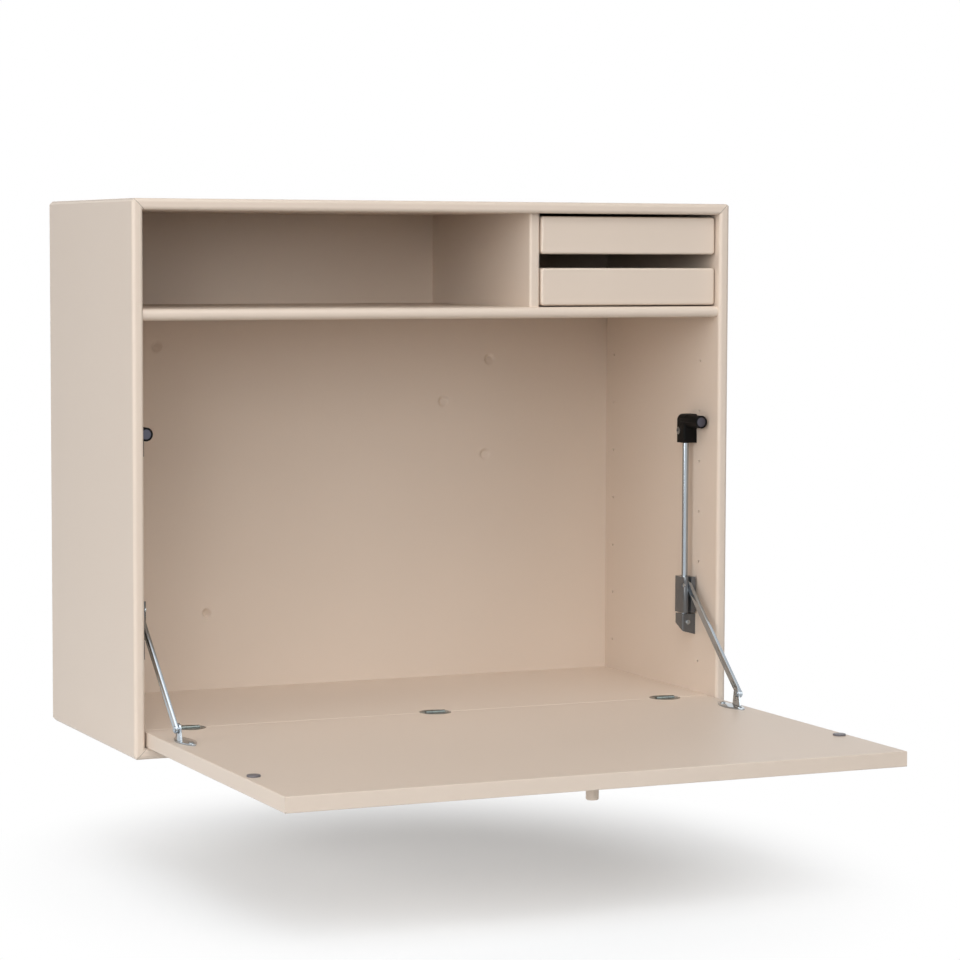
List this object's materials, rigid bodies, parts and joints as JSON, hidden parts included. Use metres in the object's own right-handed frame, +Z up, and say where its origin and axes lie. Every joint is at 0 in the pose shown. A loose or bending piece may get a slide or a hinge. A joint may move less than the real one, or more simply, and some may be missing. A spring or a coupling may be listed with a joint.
{
  "type": "fold down wall desk",
  "caption": "Wall-hung cabinet desk in matte lacquered board, with a fold-down writing flap on sliding brake stays, an open compartment and small drawers.",
  "frame": {"origin": "middle between the two screw holes of the wall rail, on the wall plane", "axes": "+X to the right as seen from the front, +Y into the wall, +Z up"},
  "size_m": [0.696, 0.707, 0.5863],
  "materials": {
    "sand_lacquer": "matte sand lacquer on smooth board",
    "dowel_beech": "raw beech",
    "black_plastic": "fine matte moulding",
    "dark_zinc": "dark grey satin casting",
    "chrome": "bright plate",
    "hinge_steel": "satin nickel plate",
    "screw_steel": "zinc plate",
    "magnet_steel": "ground and plated",
    "grey_plastic": "dark grey satin",
    "runner_plastic": "pale matte",
    "rail_steel": "galvanised"
  },
  "bodies": {
    "cabinet": {"bottom_panel": "sand_lacquer", "top_panel": "sand_lacquer", "left_side_panel": "sand_lacquer", "right_side_panel": "sand_lacquer", "back_panel": "sand_lacquer", "shelf": "sand_lacquer", "divider": "sand_lacquer", "inner_floor": "sand_lacquer", "joint_dowels": "dowel_beech", "stay_bracket_left": "black_plastic", "stay_bracket_right": "black_plastic", "stay_foot_left": "dark_zinc", "stay_foot_right": "dark_zinc", "stay_rod_left": "chrome", "stay_rod_right": "chrome", "hinge_pins": "hinge_steel", "hinge_floor_half_left": "hinge_steel", "hinge_floor_half_middle": "hinge_steel", "hinge_floor_half_right": "hinge_steel", "hinge_floor_screws": "screw_steel", "hook_screws": "screw_steel", "stay_screws_left": "screw_steel", "stay_screws_right": "screw_steel", "catch_magnets": "magnet_steel", "drawer_runner_upper_left": "runner_plastic", "drawer_runner_upper_right": "runner_plastic", "drawer_runner_lower_left": "runner_plastic", "drawer_runner_lower_right": "runner_plastic", "wall_rail": "rail_steel", "rail_hook_left": "rail_steel", "rail_hook_right": "rail_steel"},
    "flap": {"flap_board": "sand_lacquer", "pull_knob": "sand_lacquer", "hinge_flap_screws": "screw_steel", "flap_bracket_screws": "screw_steel", "arm_rivets": "chrome", "catch_plate_left": "grey_plastic", "catch_plate_right": "grey_plastic", "flap_bracket_left": "chrome", "flap_bracket_right": "chrome", "hinge_flap_half_left": "hinge_steel", "hinge_flap_half_middle": "hinge_steel", "hinge_flap_half_right": "hinge_steel"},
    "slider_left": {"stay_slider_left": "dark_zinc", "slider_rivets_left": "chrome"},
    "arm_left": {"stay_arm_left": "chrome"},
    "slider_right": {"stay_slider_right": "dark_zinc", "slider_rivets_right": "chrome"},
    "arm_right": {"stay_arm_right": "chrome"},
    "drawer_upper": {"drawer_front_upper": "sand_lacquer", "drawer_side_upper_left": "sand_lacquer", "drawer_side_upper_right": "sand_lacquer", "drawer_back_upper": "sand_lacquer", "drawer_bottom_upper": "sand_lacquer"},
    "drawer_lower": {"drawer_front_lower": "sand_lacquer", "drawer_side_lower_left": "sand_lacquer", "drawer_side_lower_right": "sand_lacquer", "drawer_back_lower": "sand_lacquer", "drawer_bottom_lower": "sand_lacquer"}
  },
  "joints": [
    {"name": "flap_hinge", "type": "hinge", "parent": "cabinet", "child": "flap", "pos_m": [0, -0.28, -0.478], "axis": [-1, 0, 0], "range_deg": [0, 90]},
    {"name": "slider_rise_left", "type": "slide", "parent": "cabinet", "child": "slider_left", "axis": [0, 0, 1], "range_m": [0, 0.1303]},
    {"name": "arm_swing_left", "type": "hinge", "parent": "flap", "child": "arm_left", "pos_m": [-0.3265, -0.371, -0.464], "axis": [1, 0, 0], "range_deg": [0, 132.6]},
    {"name": "slider_rise_right", "type": "slide", "parent": "cabinet", "child": "slider_right", "axis": [0, 0, 1], "range_m": [0, 0.1303]},
    {"name": "arm_swing_right", "type": "hinge", "parent": "flap", "child": "arm_right", "pos_m": [0.3265, -0.371, -0.464], "axis": [1, 0, 0], "range_deg": [0, 132.6]},
    {"name": "drawer_slide_upper", "type": "slide", "parent": "cabinet", "child": "drawer_upper", "axis": [0, -1, 0], "range_m": [0, 0.2]},
    {"name": "drawer_slide_lower", "type": "slide", "parent": "cabinet", "child": "drawer_lower", "axis": [0, -1, 0], "range_m": [0, 0.2]}
  ],
  "couplings": [
    {"joint": "slider_rise_left", "follows": "flap_hinge", "m_per_rad": 0.082752},
    {"joint": "arm_swing_left", "follows": "flap_hinge", "ratio": 1.4718},
    {"joint": "slider_rise_right", "follows": "flap_hinge", "m_per_rad": 0.082752},
    {"joint": "arm_swing_right", "follows": "flap_hinge", "ratio": 1.4718}
  ]
}
